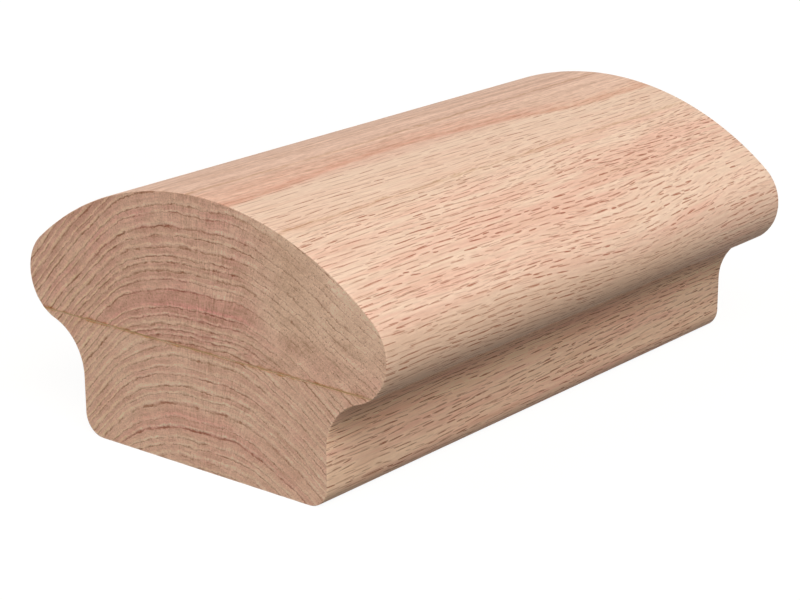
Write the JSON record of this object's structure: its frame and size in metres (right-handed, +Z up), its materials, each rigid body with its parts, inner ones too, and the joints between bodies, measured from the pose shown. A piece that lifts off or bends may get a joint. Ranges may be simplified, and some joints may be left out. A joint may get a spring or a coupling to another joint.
{
  "type": "wooden handrail",
  "caption": "Short straight length of moulded oak handrail: domed crown, rounded edges, finger coves and a flat foot, glued from boards laid face to face.",
  "frame": {"origin": "middle of the flat underside, halfway along the length", "axes": "+Y along the rail, +Z up through the crown, +X across the rail"},
  "size_m": [0.0698, 0.1016, 0.0413],
  "materials": {
    "upper_oak": "planed and sanded, unfinished red oak",
    "glue": "cured wood glue",
    "lower_oak": "planed and sanded, unfinished red oak"
  },
  "bodies": {
    "root": {"upper_board": "upper_oak", "glue_line": "glue", "lower_board": "lower_oak"}
  },
  "joints": []
}
